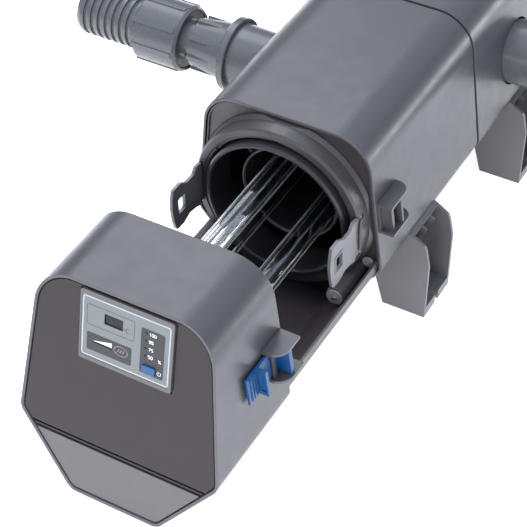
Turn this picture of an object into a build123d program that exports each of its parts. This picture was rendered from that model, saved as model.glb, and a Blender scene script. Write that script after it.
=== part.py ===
"""Pond UV clarifier with its lamp head pulled part of the way out of the tank.

Millimetres. +X is to the right seen from the lamp head, +Y runs back along the tank, +Z is up.
The shapes are drawn with y = 0 at the tank's front rim. The export moves them along Y, so the
finished origin is on the floor, under the middle of the whole object.
"""
from build123d import *
from functools import lru_cache
import math
import os

# ---------------------------------------------------------------- hull section
HULL_TOP_Z = 260.0
HULL_TOP_HALF = 88.0
HULL_SIDE_Z = 106.0
HULL_SIDE_HALF = 105.0
HULL_FLOOR_Z = 37.5
HULL_FLOOR_HALF = 47.0
HULL_TOP_RADIUS = 40.0
HULL_LOWER_RADIUS = 14.0
WALL = 3.0
RIGHT = 1
LEFT = -1
SIDE_SLOPE = (HULL_SIDE_HALF - HULL_TOP_HALF) / (HULL_TOP_Z - HULL_SIDE_Z)
WIDE = 600.0

# ---------------------------------------------------------------- tank lengths
SEAM_Y = 220.0
SEAM_WIDTH = 2.5
TANK_LENGTH = 430.0
TANK_END_RADIUS = 42.0
REAR_BULGE = 1.0
RIM_GAP = 1.1
PLATE_FRONT_Y = 3.0
PLATE_BACK_Y = 8.0

# ------------------------------------------------- water vessel, on the lamp axis
AXIS_Z = 162.0
VESSEL_RADIUS = 88.0
VESSEL_WALL = 4.0
VESSEL_END_Y = 404.0
SADDLE_PLACES = (60.0, 368.0)
NECK_FRONT_Y = -26.0
NECK_BORE = 72.4
NECK_RADIUS = 78.0
FLOW_RADIUS = 54.0
FLOW_WALL = 3.5
FLOW_FRONT_Y = 4.0
FLOW_BACK_Y = 388.0
RING_FRONT_Y = -20.0
RING_RADIUS = 92.0
RING_INNER = 80.0
RING_FLARE = 95.0
RING_NOTCH_HALF = 4.0
RING_NOTCH_ANGLES = (0, 52, -52, 128, -128, 180)
FIN_FRONT_Y = 14.0
FIN_BACK_Y = 30.0
FIN_HALF = 1.5

# ---------------------------------------------------------------- lamp head
HEAD_PULL = 181.0
HEAD_BACK_Y = -HEAD_PULL
HEAD_FRONT_TOP_Y = -274.0
FRONT_LEAN = 0.235
HEAD_START_Y = -340.0
LEDGE_DEPTH = 4.5
LEDGE_THICK = 3.0
RIM_FILLET = 1.0
BULKHEAD_Y = -256.0
BULKHEAD_THICK = 4.0
BULKHEAD_CLEAR = 0.3
SPIGOT_BACK_Y = -186.0
SPIGOT_RADIUS = 71.0
SPIGOT_WALL = 6.0
SPIGOT_GROOVE_Y = -194.2
SPIGOT_GROOVE_HALF = 2.0
SPIGOT_GROOVE_RADIUS = 68.6
SPIGOT_SEAL_RADIUS = 70.45
SPIGOT_SEAL_SECTION = 1.8
COVER_RECESS = 1.2
COVER_THICK = 4.0
COVER_SEAT_GAP = 0.02
COVER_SPLIT_V = -167.1
COVER_SPLIT_GAP = 6.4

# ---------------------------------------------------------------- lamps and sleeves
SLEEVE_COUNT = 3
SLEEVE_FIRST_ANGLE = -21.0
SLEEVE_PITCH_RADIUS = 36.4
SLEEVE_RADIUS = 12.0
SLEEVE_WALL = 1.5
SLEEVE_FRONT_Y = -241.0
SLEEVE_TIP_Y = 204.0
LAMP_TUBE_RADIUS = 4.0
LAMP_TUBE_OFFSET = 4.8
LAMP_TIP_Y = 176.0
LAMP_BASE_RADIUS = 9.3
LAMP_BASE_BACK_Y = -222.0
LAMP_SOCKET_RADIUS = 10.8
LAMP_SOCKET_BORE = 9.4
BALLAST_PLACES_X = (-43.0, 0.0, 43.0)
BALLAST_HALF = 18.0
BALLAST_DEPTH = 32.0
BALLAST_LOW_Z = 66.0
BALLAST_HIGH_Z = 106.0
SEAL_RADIUS = 14.2
GLAND_OUTER = 13.9
GLAND_HEIGHT = 7.5
NOSE_Y = -239.0
NOSE_ROOT_X = 80.0
NOSE_TIP_X = 82.9
NOSE_LOW_Z = 154.0
NOSE_HIGH_Z = 168.0
NOSE_HALF = 2.0
NOSE_LIP_HALF = 1.7
SOCKET_BACK_Y = -203.0
SOCKET_WALL = 3.0
SOCKET_CLEAR = 0.5
BULKHEAD_SCREWS = [(-60, 226), (60, 226), (-48, 58), (48, 58)]

# ---------------------------------------------------------------- guide rail and pins
RAIL_INSET = 4.2
RAIL_WALL = 2.4
RAIL_HALF = 99.1
RAIL_TOP_Z = 117.0
RAIL_LEFT_TOP_Z = 80.0
RAIL_FRONT_Y = -250.0
RAIL_BACK_Y = 203.0
RAIL_CLEAR = 0.7
RAIL_SCREW_PLACES = [(x, y) for x in (-26, 26) for y in (-240, -200)]
PIN_X = 76.9
PIN_Z = 99.2
PIN_RADIUS = 10.0
PIN_FRONT_Y = -45.0
PIN_WASHER_RADIUS = 8.6
PIN_WASHER_THICK = 1.2
PIN_SCREW_RADIUS = 3.2
PLATE_SCREW_X = 88.5
PLATE_SCREW_Z = 111.0
PLATE_SCREW_RADIUS = 6.0
PLATE_SCREW_HEAD = 1.5
PLATE_SCREW_DRIVE = 2.2

# ---------------------------------------------------------------- ears, latches and catches
EAR_X = 86.5
EAR_THICK = 3.2
EAR_HINGE_Y = -14.0
EAR_PIN_RADIUS = 1.5
EAR_PIN_HALF = 27.0
EAR_BARREL_HALF = 23.5
EAR_BARREL_RADIUS = 2.6
EAR_OUTLINE = [
    (-12, 139), (-22, 139), (-26, 134.5), (-33, 137.5), (-45, 139.5), (-56, 135.5), (-66, 135.5),
    (-70, 138), (-73, 150), (-74.5, 165), (-73, 178), (-70.5, 187), (-57, 187), (-46, 180),
    (-34, 180), (-28, 186), (-22, 185), (-12, 185),
]
EAR_WINDOW = (-57.5, 161.0, 12.0, 18.0)
EAR_WINDOW_BORDER = 2.2
EAR_BEAD = 0.6
EAR_SLOT_HALF = 3.2
LATCH_UPPER_Z = 187.0
LATCH_LOWER_Z = 155.0
LATCH_PLATE = 3.0
LATCH_REACH = 20.0
LATCH_GAP = 0.5
BRACKET_FRONT_Y = -215.0
BRACKET_BACK_Y = -182.0
BRACKET_BASE = 2.0
SLIDE_THICK = 2.5
SLIDE_LIFT = BRACKET_BASE + 0.3
SLIDE_FRONT_Y = -249.0
SLIDE_BACK_Y = -195.0
TAB_FRONT_Y = -233.0
TAB_BACK_Y = -229.0
TAB_REACH = 14.0
BAR_FRONT_Y = -200.0
BAR_REACH = 18.0
GRIP_RIBS = (-245.0, -241.0, -237.0)
GRIP_WIDTH = 1.8
GRIP_HEIGHT = 1.2
KEEPER_FRONT_Y = -211.0
KEEPER_BACK_Y = -206.0
KEEPER_THICK = 2.0
CATCH_FRONT_Y = 3.5
CATCH_BACK_Y = 44.0
CATCH_REACH = 15.5
CATCH_RIBS = [(9.0, 13.0, 12.0), (24.0, 27.0, 14.5)]

# ---------------------------------------------------------------- water connections
PORT_LEFT_Y = 175.0
PORT_RIGHT_Y = 320.0
PORT_STUB_RADIUS = 35.5
PORT_FLANGE_RADIUS = 41.0
PORT_FLANGE_S = 155.0
PORT_FACE_S = 164.0
PORT_BORE = 25.0
UNION_BODY_END_S = 231.0
UNION_BORE = 20.0
UNION_THREAD_RADIUS = 27.9
UNION_SHOULDER_RADIUS = 31.5
UNION_CONE_END_S = 207.0
UNION_CONE_RADIUS = 27.0
UNION_NECK_RADIUS = 24.0
UNION_HEAD_START_S = 219.0
UNION_HEAD_RADIUS = 32.5
UNION_NUT_RADIUS = 38.0
UNION_NUT_START_S = 217.0
UNION_NUT_END_S = 274.0
RUNNING = 0.06
TAIL_END_S = 350.0
TAIL_START_S = 233.0
TAIL_COLLAR_END_S = 242.7
TAIL_COLLAR_RADIUS = UNION_HEAD_RADIUS - 0.3
TAIL_NECK_RADIUS = 27.0
NUT_SHOULDER_S = 243.0
TAIL_CREST = 29.0
TAIL_VALLEY = 26.6
TAIL_BORE = 21.5
TAIL_BARBS = 8

# ---------------------------------------------------------------- feet
FOOT_OUTER_X = 125.0
FOOT_LENGTH = 58.0
FOOT_FRONT_Y = 60.0
FOOT_REAR_Y = 300.0
FOOT_PLATE = 3.5
FOOT_FLOOR = 12.0
FOOT_SLOT_RADIUS = 3.5
FOOT_SLOT_X = 106.0
FOOT_OUTLINE = [(77, 0), (125, 0), (127.5, 72), (123, 97), (100, 112), (62, 60)]
FOOT_BEND_RADIUS = 9.0
FOOT_BEND_LOW_Z = 70.0
FOOT_WEB_LIFT = 2.0
FOOT_RIB_SPREAD = 9.0
FOOT_RIB_HALF = 0.9
FOOT_SCREW_X = 84.0
FOOT_SCREW_SPREAD = 17.0
SCREW_RADIUS = 1.95

# ---------------------------------------------------------------- small screws
SCREW_HEAD_HEIGHT = 2.4
DRIVE_RADIUS = 1.6
DRIVE_DEPTH = 1.2
SMALL_SHANK_RADIUS = 1.6
SMALL_PILOT_RADIUS = 1.7
RAIL_SCREW_HEAD = 3.6
RAIL_SCREW_LENGTH = 9.0
BULKHEAD_SCREW_HEAD = 3.4
FOOT_SCREW_HEAD = 3.8
PIN_SCREW_SHANK = 2.4

# ---------------------------------------------------------------- control panel, on the front face
PANEL_U = 4.0
PANEL_V = -41.1
PANEL_WIDTH = 94.5
PANEL_HEIGHT = 71.4
PANEL_RADIUS = 2.5
PANEL_PROUD = 1.0
PANEL_GROOVE = 1.3
POCKET_DEPTH = 1.6
MEMBRANE_U = 3.75
MEMBRANE_V = -41.2
MEMBRANE_WIDTH = 90.5
MEMBRANE_HEIGHT = 62.8
MEMBRANE_RADIUS = 2.0
MEMBRANE_THICK = 0.8
MEMBRANE_SUNK = 0.2
DISPLAY_U = -8.9
DISPLAY_V = -27.8
DISPLAY_WIDTH = 19.0
DISPLAY_HEIGHT = 10.8
SLOT_U = -19.5
SLOT_V = -55.7
SLOT_WIDTH = 20.0
SLOT_HEIGHT = 1.8
LED_U = 23.9
LED_TOP_V = -25.0
LED_PITCH = 7.7
LED_COUNT = 4
LED_RADIUS = 1.2
BUTTON_U = 28.6
BUTTON_V = -61.2
BUTTON_WIDTH = 13.0
BUTTON_HEIGHT = 8.0
BUTTON_PROUD = 1.6
BUTTON_CLEAR = 0.3
BUTTON_STEM_W = -8.2
BUTTON_TRAVEL = 1.2
BOARD_FACE_W = -12.0
BOARD_THICK = 1.6
BOARD_WIDTH = 88.0
BOARD_HEIGHT = 60.0
POST_SPREAD_U = 39.0
POST_SPREAD_V = 26.0
POST_RADIUS = 2.6

# ---------------------------------------------------------------- mains lead
CABLE_X = 0.0
CABLE_Y = -276.0
CABLE_RADIUS = 3.6
CABLE_FLOOR_Z = 5.0
CABLE_BEND = 14.0
CABLE_END_Y = 452.0
GLAND_RADIUS = 8.0
PLUG_Z = 17.0
PLUG_OUTLINE = [(0, -6), (5.5, -6), (7, 12), (15.5, 22), (16, 44), (0, 44)]
PLUG_PIN_X = 9.5
PLUG_PIN_RADIUS = 2.4
PLUG_PIN_END_Y = CABLE_END_Y + 61

# ---------------------------------------------------------------- finished origin
LOWEST_FRONT_Y = HEAD_FRONT_TOP_Y - FRONT_LEAN * (HULL_TOP_Z - HULL_FLOOR_Z)
PLUG_TIP_Y = PLUG_PIN_END_Y + PLUG_PIN_RADIUS
ORIGIN_Y = (LOWEST_FRONT_Y + PLUG_TIP_Y) / 2


def front_plane():
    """The leaning front face of the head: u is X, v runs up the face, w points out of it."""
    lean = math.hypot(1.0, FRONT_LEAN)
    out = (0, -1.0 / lean, FRONT_LEAN / lean)
    return Plane(origin=(0, HEAD_FRONT_TOP_Y, HULL_TOP_Z), x_dir=(1, 0, 0), z_dir=out)


@lru_cache(maxsize=None)
def hull_face(inset):
    """The hull's section on the XZ plane, drawn inwards by inset."""
    corners = [
        (HULL_TOP_HALF, HULL_TOP_Z),
        (HULL_SIDE_HALF, HULL_SIDE_Z),
        (HULL_FLOOR_HALF, HULL_FLOOR_Z),
        (-HULL_FLOOR_HALF, HULL_FLOOR_Z),
        (-HULL_SIDE_HALF, HULL_SIDE_Z),
        (-HULL_TOP_HALF, HULL_TOP_Z),
    ]
    sharp = Polygon(*corners, align=None)
    top = sharp.vertices().filter_by_position(Axis.Y, HULL_TOP_Z - 1, HULL_TOP_Z + 1)
    rounded = fillet(top, HULL_TOP_RADIUS)
    low = [v for v in rounded.vertices() if v.Y < HULL_SIDE_Z + 1]
    rounded = fillet(low, HULL_LOWER_RADIUS)
    if inset:
        rounded = offset(rounded, amount=-inset)
    return rounded


def along_y(face, start, end):
    """Extrude a face drawn in (X, Z) from y = start to y = end."""
    plane = Plane(origin=(0, start, 0), x_dir=(1, 0, 0), z_dir=(0, -1, 0))
    return extrude(plane * face, amount=end - start, dir=(0, 1, 0))


def hull_solid(inset, start, end):
    return along_y(hull_face(inset), start, end)


def hull_tube(inset, thick, start, end):
    return hull_solid(inset, start, end) - hull_solid(inset + thick, start - 1, end + 1)


def slab(low_z, high_z):
    """Everything between two heights."""
    height = high_z - low_z
    return Pos(0, 0, (low_z + high_z) / 2) * Box(WIDE, 2 * WIDE, height)


def box_between(low, high):
    size = [h - l for l, h in zip(low, high)]
    middle = [(l + h) / 2 for l, h in zip(low, high)]
    return Pos(*middle) * Box(*size)


def disc(x, z, radius, start, end):
    """A round bar along Y."""
    return along_y(Pos(x, z) * Circle(radius), start, end)


def turned_y(profile, x=0.0, z=AXIS_Z):
    """Turn a closed (radius, y) outline about an axis along Y through (x, z)."""
    face = make_face(Polyline(*[(r, y) for r, y in profile], close=True))
    return Pos(x, 0, z) * revolve(face, Axis.Y)


def turned_x(profile, y, side):
    """Turn a closed (distance out, radius) outline about the port axis on one side."""
    face = make_face(Polyline(*[(side * s, r) for s, r in profile], close=True))
    return Pos(0, y, AXIS_Z) * revolve(face, Axis.X)


def both_sides(solid):
    return [solid, mirror(solid, about=Plane.YZ)]


def group(solids):
    """Several separate solids in one node."""
    return Compound(children=[s for part in solids for s in part.solids()])


def wall_x(z):
    """Half-width of the hull's outside at height z on its slanted side."""
    return HULL_TOP_HALF + (HULL_TOP_Z - z) * SIDE_SLOPE


# ================================================================= tank
def port_hole(y, side, radius):
    return Pos(side * HULL_SIDE_HALF, y, AXIS_Z) * Rot(0, 90, 0) * Cylinder(radius, HULL_SIDE_HALF)


def softened(shell, end):
    """Round the outer edge of a hull tube at its front (end 0) or its back (end -1)."""
    rim = shell.faces().sort_by(Axis.Y)[end]
    return fillet(rim.outer_wire().edges(), RIM_FILLET)


def front_shell():
    shell = softened(hull_tube(0, WALL, 0, SEAM_Y), 0)
    shell -= port_hole(PORT_LEFT_Y, -1, PORT_STUB_RADIUS + RIM_GAP)
    return shell - foot_screw_holes(FOOT_FRONT_Y)


def rounded_end(inset):
    """A block whose far edges are rounded in plan and in side view."""
    end = TANK_LENGTH - inset
    radius = TANK_END_RADIUS - inset
    reach = end - SEAM_Y + WIDE
    half = HULL_SIDE_HALF + REAR_BULGE - inset
    top = HULL_TOP_Z + REAR_BULGE - inset
    floor = HULL_FLOOR_Z - REAR_BULGE + inset
    plan = Pos(0, end - reach / 2) * RectangleRounded(2 * half, reach, radius)
    side_view = Pos(end - reach / 2, (top + floor) / 2) * RectangleRounded(reach, top - floor, radius)
    in_plan = extrude(plan, amount=WIDE)
    yz = Plane(origin=(-WIDE / 2, 0, 0), x_dir=(0, 1, 0), z_dir=(1, 0, 0))
    return in_plan & extrude(yz * side_view, amount=WIDE)


def rear_shell():
    start = SEAM_Y + SEAM_WIDTH
    outer = hull_solid(-REAR_BULGE, start, TANK_LENGTH) & rounded_end(0)
    inner = hull_solid(WALL, start - 1, TANK_LENGTH - WALL) & rounded_end(WALL)
    shell = outer - inner - port_hole(PORT_RIGHT_Y, 1, PORT_STUB_RADIUS + RIM_GAP)
    return shell - foot_screw_holes(FOOT_REAR_Y)


def seam_gasket():
    return hull_tube(REAR_BULGE, 2.0, SEAM_Y, SEAM_Y + SEAM_WIDTH)


def vessel():
    r = VESSEL_RADIUS
    inner = r - VESSEL_WALL
    body = turned_y([
        (NECK_BORE, NECK_FRONT_Y + 2), (NECK_BORE + 1.5, NECK_FRONT_Y), (NECK_RADIUS - 2, NECK_FRONT_Y),
        (NECK_RADIUS, NECK_FRONT_Y + 2), (NECK_RADIUS, PLATE_BACK_Y), (r - 2, PLATE_BACK_Y),
        (r, PLATE_BACK_Y + 2), (r, VESSEL_END_Y - 16), (r - 16, VESSEL_END_Y), (0, VESSEL_END_Y),
        (0, VESSEL_END_Y - VESSEL_WALL), (inner - 14, VESSEL_END_Y - VESSEL_WALL),
        (inner, VESSEL_END_Y - 18), (inner, PLATE_BACK_Y + 8), (NECK_BORE, PLATE_BACK_Y + 4),
    ])
    body -= port_hole(PORT_LEFT_Y, -1, PORT_BORE)
    return body - port_hole(PORT_RIGHT_Y, 1, PORT_BORE)


def flow_tube():
    """Inner tube that keeps the water close to the lamps, centred by three fins."""
    r = FLOW_RADIUS
    inner = r - FLOW_WALL
    tube = turned_y([
        (inner + 1.2, FLOW_FRONT_Y), (r - 1.2, FLOW_FRONT_Y), (r, FLOW_FRONT_Y + 1.2),
        (r, FLOW_BACK_Y), (inner, FLOW_BACK_Y), (inner, FLOW_FRONT_Y + 1.2),
    ])
    fin_low, fin_high = r - 1, NECK_BORE - 0.1
    fin = box_between((fin_low, FIN_FRONT_Y, -FIN_HALF), (fin_high, FIN_BACK_Y, FIN_HALF))
    for index in range(SLEEVE_COUNT):
        angle = 360 / SLEEVE_COUNT * index + 90
        tube += Pos(0, 0, AXIS_Z) * Rot(0, angle, 0) * fin
    return tube


def rail_solid(inward, start, end):
    """The rail's outside, drawn inwards: it follows the hull but has upright side walls."""
    half = RAIL_HALF - inward
    return hull_solid(RAIL_INSET + inward, start, end) & box_between((-half, start, 0), (half, end, WIDE))


def left_of_rail(low_z):
    """Space over the rail's left wall, which is lower than the right one."""
    return box_between((-WIDE, -WIDE, low_z), (0, WIDE, WIDE))


def rail_zone():
    """Space that the sliding guide rail sweeps where it enters the tank."""
    low = hull_solid(0, -1, PLATE_BACK_Y + 1) - rail_solid(RAIL_WALL + RAIL_CLEAR, -2, PLATE_BACK_Y + 2)
    return (low & slab(0, RAIL_TOP_Z + 2)) - left_of_rail(RAIL_LEFT_TOP_Z + 2)


def front_plate():
    inset = WALL + RIM_GAP
    plate = hull_solid(inset, PLATE_FRONT_Y, PLATE_BACK_Y)
    bead = hull_tube(inset, 1.8, PLATE_FRONT_Y - 1.6, PLATE_FRONT_Y)
    plate = plate + bead - rail_zone()
    plate -= disc(0, AXIS_Z, NECK_RADIUS + 0.5, -5, PLATE_BACK_Y + 1)
    for side in (LEFT, RIGHT):
        plate -= disc(side * PLATE_SCREW_X, PLATE_SCREW_Z, 2.0, -5, PLATE_BACK_Y + 1)
        plate -= disc(side * PIN_X, PIN_Z, 3.0, -5, PLATE_BACK_Y + 1)
    return plate


def plate_screws():
    x, z, front = PLATE_SCREW_X, PLATE_SCREW_Z, PLATE_FRONT_Y - PLATE_SCREW_HEAD
    head = disc(x, z, PLATE_SCREW_RADIUS, front, PLATE_FRONT_Y)
    shank = disc(x, z, SCREW_RADIUS, PLATE_FRONT_Y, PLATE_BACK_Y + 6)
    drive = along_y(Pos(x, z) * RegularPolygon(PLATE_SCREW_DRIVE, 6), front - 1, PLATE_FRONT_Y - 0.5)
    return group(both_sides(head + shank - drive))


def clamp_ring():
    ring = turned_y([
        (RING_INNER, RING_FRONT_Y + 2.5), (RING_INNER + 1.5, RING_FRONT_Y + 1.2),
        (RING_INNER + 3.5, RING_FRONT_Y + 1.2), (RING_INNER + 4, RING_FRONT_Y),
        (RING_RADIUS - 2, RING_FRONT_Y), (RING_RADIUS, RING_FRONT_Y + 2),
        (RING_RADIUS, PLATE_FRONT_Y - 6), (RING_FLARE, PLATE_FRONT_Y - 2),
        (RING_FLARE, PLATE_FRONT_Y), (RING_INNER, PLATE_FRONT_Y),
    ])
    ring &= hull_solid(WALL + RIM_GAP + 2.2, RING_FRONT_Y - 1, PLATE_FRONT_Y + 1)
    for side in (LEFT, RIGHT):
        ring -= disc(side * PIN_X, PIN_Z, PIN_RADIUS + 0.3, RING_FRONT_Y - 1, PLATE_FRONT_Y + 1)
        ring -= disc(side * PLATE_SCREW_X, PLATE_SCREW_Z, PLATE_SCREW_RADIUS + 0.3, -5, PLATE_FRONT_Y + 1)
        ring -= ear_slot(side)
        ring -= ear_pin(side, EAR_PIN_RADIUS)
    notch_low = (-RING_NOTCH_HALF, RING_FRONT_Y - 1, RING_INNER - 1)
    notch = box_between(notch_low, (RING_NOTCH_HALF, RING_FRONT_Y + 3, RING_INNER + 2.6))
    for angle in RING_NOTCH_ANGLES:
        ring -= Pos(0, 0, AXIS_Z) * Rot(0, angle, 0) * notch
    return ring


def ear_slot(side):
    """Pocket in the clamp ring that holds the ear's barrel and lets it swing."""
    half_height = EAR_BARREL_HALF + 0.6
    low = (side * EAR_X - EAR_SLOT_HALF, RING_FRONT_Y - 1, AXIS_Z - half_height)
    high = (side * EAR_X + EAR_SLOT_HALF, EAR_HINGE_Y + EAR_SLOT_HALF, AXIS_Z + half_height)
    return box_between(low, high)


def ear_pin(side, radius):
    return Pos(side * EAR_X, EAR_HINGE_Y, AXIS_Z) * Cylinder(radius, 2 * EAR_PIN_HALF)


def ear_pins():
    return group([ear_pin(side, EAR_PIN_RADIUS) for side in (LEFT, RIGHT)])


def ear():
    """Right-hand spring ear: a waisted plate with a window near its pointed end."""
    y, z, length, height = EAR_WINDOW
    outline = Polygon(*EAR_OUTLINE, align=None)
    window = Pos(y, z) * RectangleRounded(length, height, 1.5)
    plane = Plane(origin=(EAR_X - EAR_THICK / 2, 0, 0), x_dir=(0, 1, 0), z_dir=(1, 0, 0))
    plate = extrude(plane * (outline - window), amount=EAR_THICK, dir=(1, 0, 0))
    plate &= box_between((0, -80, 0), (WIDE, EAR_HINGE_Y, WIDE))
    barrel = Pos(EAR_X, EAR_HINGE_Y, AXIS_Z) * Cylinder(EAR_BARREL_RADIUS, 2 * EAR_BARREL_HALF)
    bead_plane = Plane(origin=(EAR_X + EAR_THICK / 2, 0, 0), x_dir=(0, 1, 0), z_dir=(1, 0, 0))
    border = RectangleRounded(length + 2 * EAR_WINDOW_BORDER, height + 2 * EAR_WINDOW_BORDER, 2.5)
    bead_outline = Pos(y, z) * border - window
    bead = extrude(bead_plane * bead_outline, amount=EAR_BEAD, dir=(1, 0, 0))
    return plate + barrel + bead - ear_pin(1, EAR_PIN_RADIUS + RUNNING)


def guide_pins():
    pin = disc(PIN_X, PIN_Z, PIN_RADIUS, PIN_FRONT_Y, PLATE_FRONT_Y)
    pin = chamfer(pin.edges().sort_by(Axis.Y)[0], 0.8)
    return group(both_sides(pin - disc(PIN_X, PIN_Z, 2.5, PIN_FRONT_Y - 1, PLATE_FRONT_Y + 1)))


def guide_pin_washers():
    ring = disc(PIN_X, PIN_Z, PIN_WASHER_RADIUS, PIN_FRONT_Y - PIN_WASHER_THICK, PIN_FRONT_Y)
    return group(both_sides(ring - disc(PIN_X, PIN_Z, 2.6, PIN_FRONT_Y - 2, PIN_FRONT_Y + 1)))


def guide_pin_screws():
    front = PIN_FRONT_Y - PIN_WASHER_THICK
    head = disc(PIN_X, PIN_Z, PIN_SCREW_RADIUS, front - SCREW_HEAD_HEIGHT, front)
    head = chamfer(head.edges().sort_by(Axis.Y)[0], 0.7)
    drive = along_y(Pos(PIN_X, PIN_Z) * RegularPolygon(DRIVE_RADIUS, 6), front - 3, front - 1)
    shank = disc(PIN_X, PIN_Z, PIN_SCREW_SHANK, front, PLATE_BACK_Y + 4)
    return group(both_sides(head + shank - drive))


def vessel_saddles():
    """Upper rings that hold the vessel inside the shell, clear of the sliding rail."""
    solids = []
    for start in SADDLE_PLACES:
        saddle = hull_solid(WALL, start, start + 4) & slab(RAIL_TOP_Z + 6, HULL_TOP_Z)
        solids.append(saddle - disc(0, AXIS_Z, VESSEL_RADIUS, start - 1, start + 5))
    return group(solids)


def bracket_plate(z, start, end, reach, round_at_front):
    """One D-shaped plate standing out from the side wall at height z."""
    root = wall_x(z + LATCH_PLATE) - 1
    outer = wall_x(z) + reach
    length = end - start
    outline = Pos((root + outer) / 2, (start + end) / 2) * Rectangle(outer - root, length)
    corner_y = start if round_at_front else end
    corners = [v for v in outline.vertices() if v.X > root + 1 and abs(v.Y - corner_y) < 1]
    outline = fillet(corners, reach * 0.82)
    return Pos(0, 0, z - LATCH_PLATE / 2) * extrude(outline, amount=LATCH_PLATE, dir=(0, 0, 1))


def wall_slice(inset_low, inset_high, start, end, low_z, high_z):
    """A strip that follows the slanted right wall between two offsets outside it."""
    strip = hull_solid(-inset_high, start, end) - hull_solid(-inset_low, start - 1, end + 1)
    return strip & box_between((0, start, low_z), (WIDE, end, high_z))


def latch_bracket():
    """Right-hand guide: two D-shaped plates, a wall plate and a keeper bar over the slide."""
    low = LATCH_LOWER_Z - LATCH_PLATE / 2
    high = LATCH_UPPER_Z + LATCH_PLATE / 2
    bracket = bracket_plate(LATCH_UPPER_Z, BRACKET_FRONT_Y, BRACKET_BACK_Y, LATCH_REACH, True)
    bracket += bracket_plate(LATCH_LOWER_Z, BRACKET_FRONT_Y, BRACKET_BACK_Y, LATCH_REACH, True)
    bracket += wall_slice(0, BRACKET_BASE, BRACKET_FRONT_Y + 6, BRACKET_BACK_Y, low, high)
    keeper_low = SLIDE_LIFT + SLIDE_THICK + 0.3
    bracket += wall_slice(keeper_low, keeper_low + KEEPER_THICK, KEEPER_FRONT_Y, KEEPER_BACK_Y, low, high)
    return bracket - hull_solid(0, BRACKET_FRONT_Y - 1, BRACKET_BACK_Y + 1)


def latch_slide():
    """Blue slide: wall plate, thumb tab and the bar that enters the tank's catch."""
    low = LATCH_LOWER_Z + LATCH_PLATE / 2 + LATCH_GAP
    high = LATCH_UPPER_Z - LATCH_PLATE / 2 - LATCH_GAP
    top = SLIDE_LIFT + SLIDE_THICK
    slide = wall_slice(SLIDE_LIFT, top, SLIDE_FRONT_Y, SLIDE_BACK_Y, low, high)
    slide += wall_slice(top - 1, TAB_REACH, TAB_FRONT_Y, TAB_BACK_Y, low, high)
    slide += wall_slice(top - 1, BAR_REACH, BAR_FRONT_Y, SLIDE_BACK_Y, low, high)
    for start in GRIP_RIBS:
        slide += wall_slice(top - 1, top + GRIP_HEIGHT, start, start + GRIP_WIDTH, low + 2, high - 2)
    pocket_back = TAB_FRONT_Y + 0.4 * (TAB_BACK_Y - TAB_FRONT_Y)
    return slide - wall_slice(top + 2, TAB_REACH - 2, TAB_FRONT_Y - 1, pocket_back, low + 4, high - 4)


def catch():
    """Tank-side catch: two D-shaped plates with two upright ribs between them."""
    low = LATCH_LOWER_Z - LATCH_PLATE / 2
    high = LATCH_UPPER_Z + LATCH_PLATE / 2
    body = bracket_plate(LATCH_UPPER_Z, CATCH_FRONT_Y, CATCH_BACK_Y, CATCH_REACH, False)
    body += bracket_plate(LATCH_LOWER_Z, CATCH_FRONT_Y, CATCH_BACK_Y, CATCH_REACH, False)
    body += wall_slice(0, 2.0, CATCH_FRONT_Y, CATCH_BACK_Y - 8, low, high)
    for start, end, reach in CATCH_RIBS:
        body += wall_slice(1, reach, start, end, low, high)
    return body - hull_solid(0, -1, CATCH_BACK_Y + 1)


# ================================================================= feet
def foot(start):
    """Right-hand foot: two gusset plates on a slotted floor, with a web against the hull."""
    end = start + FOOT_LENGTH
    outline = Polygon(*FOOT_OUTLINE, align=None)
    outline = fillet([v for v in outline.vertices() if v.Y > FOOT_BEND_LOW_Z], FOOT_BEND_RADIUS)
    body = along_y(outline, start, end)
    inside = along_y(offset(outline, amount=-FOOT_PLATE), start + FOOT_PLATE, end - FOOT_PLATE)
    room = box_between((0, start + FOOT_PLATE, FOOT_FLOOR), (WIDE, end - FOOT_PLATE, WIDE))
    web_start = -FOOT_WEB_LIFT - FOOT_PLATE
    web = hull_solid(web_start, start, end) & body
    outside = along_y(outline, start - 1, end + 1) - hull_solid(web_start, start - 1, end + 1)
    room &= outside + inside
    foot_body = body - room
    middle = (start + end) / 2
    for rib in (middle - FOOT_RIB_SPREAD, middle + FOOT_RIB_SPREAD):
        strip = box_between((0, rib - FOOT_RIB_HALF, FOOT_FLOOR), (WIDE, rib + FOOT_RIB_HALF, WIDE))
        foot_body += strip & body & hull_solid(web_start - 6, start, end)
    foot_body += web
    foot_body -= hull_solid(-REAR_BULGE if start > SEAM_Y else 0, start - 1, end + 1)
    slot = Pos(FOOT_SLOT_X, middle, FOOT_FLOOR / 2) * Cylinder(FOOT_SLOT_RADIUS, 2 * FOOT_FLOOR)
    mouth_low = (FOOT_SLOT_X, middle - FOOT_SLOT_RADIUS, -1)
    mouth = box_between(mouth_low, (FOOT_OUTER_X + 9, middle + FOOT_SLOT_RADIUS, FOOT_FLOOR + 1))
    foot_body = foot_body - slot - mouth
    for place in foot_screw_places(start):
        foot_body -= place * Cylinder(SCREW_RADIUS + 0.05, 40)
    return foot_body


def foot_screw_places(start):
    """Places of a foot's two screws, square to the hull's lower slant."""
    slant = math.degrees(math.atan2(HULL_SIDE_Z - HULL_FLOOR_Z, HULL_SIDE_HALF - HULL_FLOOR_HALF))
    bulge = REAR_BULGE if start > SEAM_Y else 0
    turn = math.radians(slant)
    x = FOOT_SCREW_X + bulge * math.sin(turn)
    z = HULL_SIDE_Z - (HULL_SIDE_HALF - FOOT_SCREW_X) * math.tan(turn) - bulge * math.cos(turn)
    middle = start + FOOT_LENGTH / 2
    shifts = (-FOOT_SCREW_SPREAD, FOOT_SCREW_SPREAD)
    return [Pos(x, middle + shift, z) * Rot(0, 180 - slant, 0) for shift in shifts]


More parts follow.
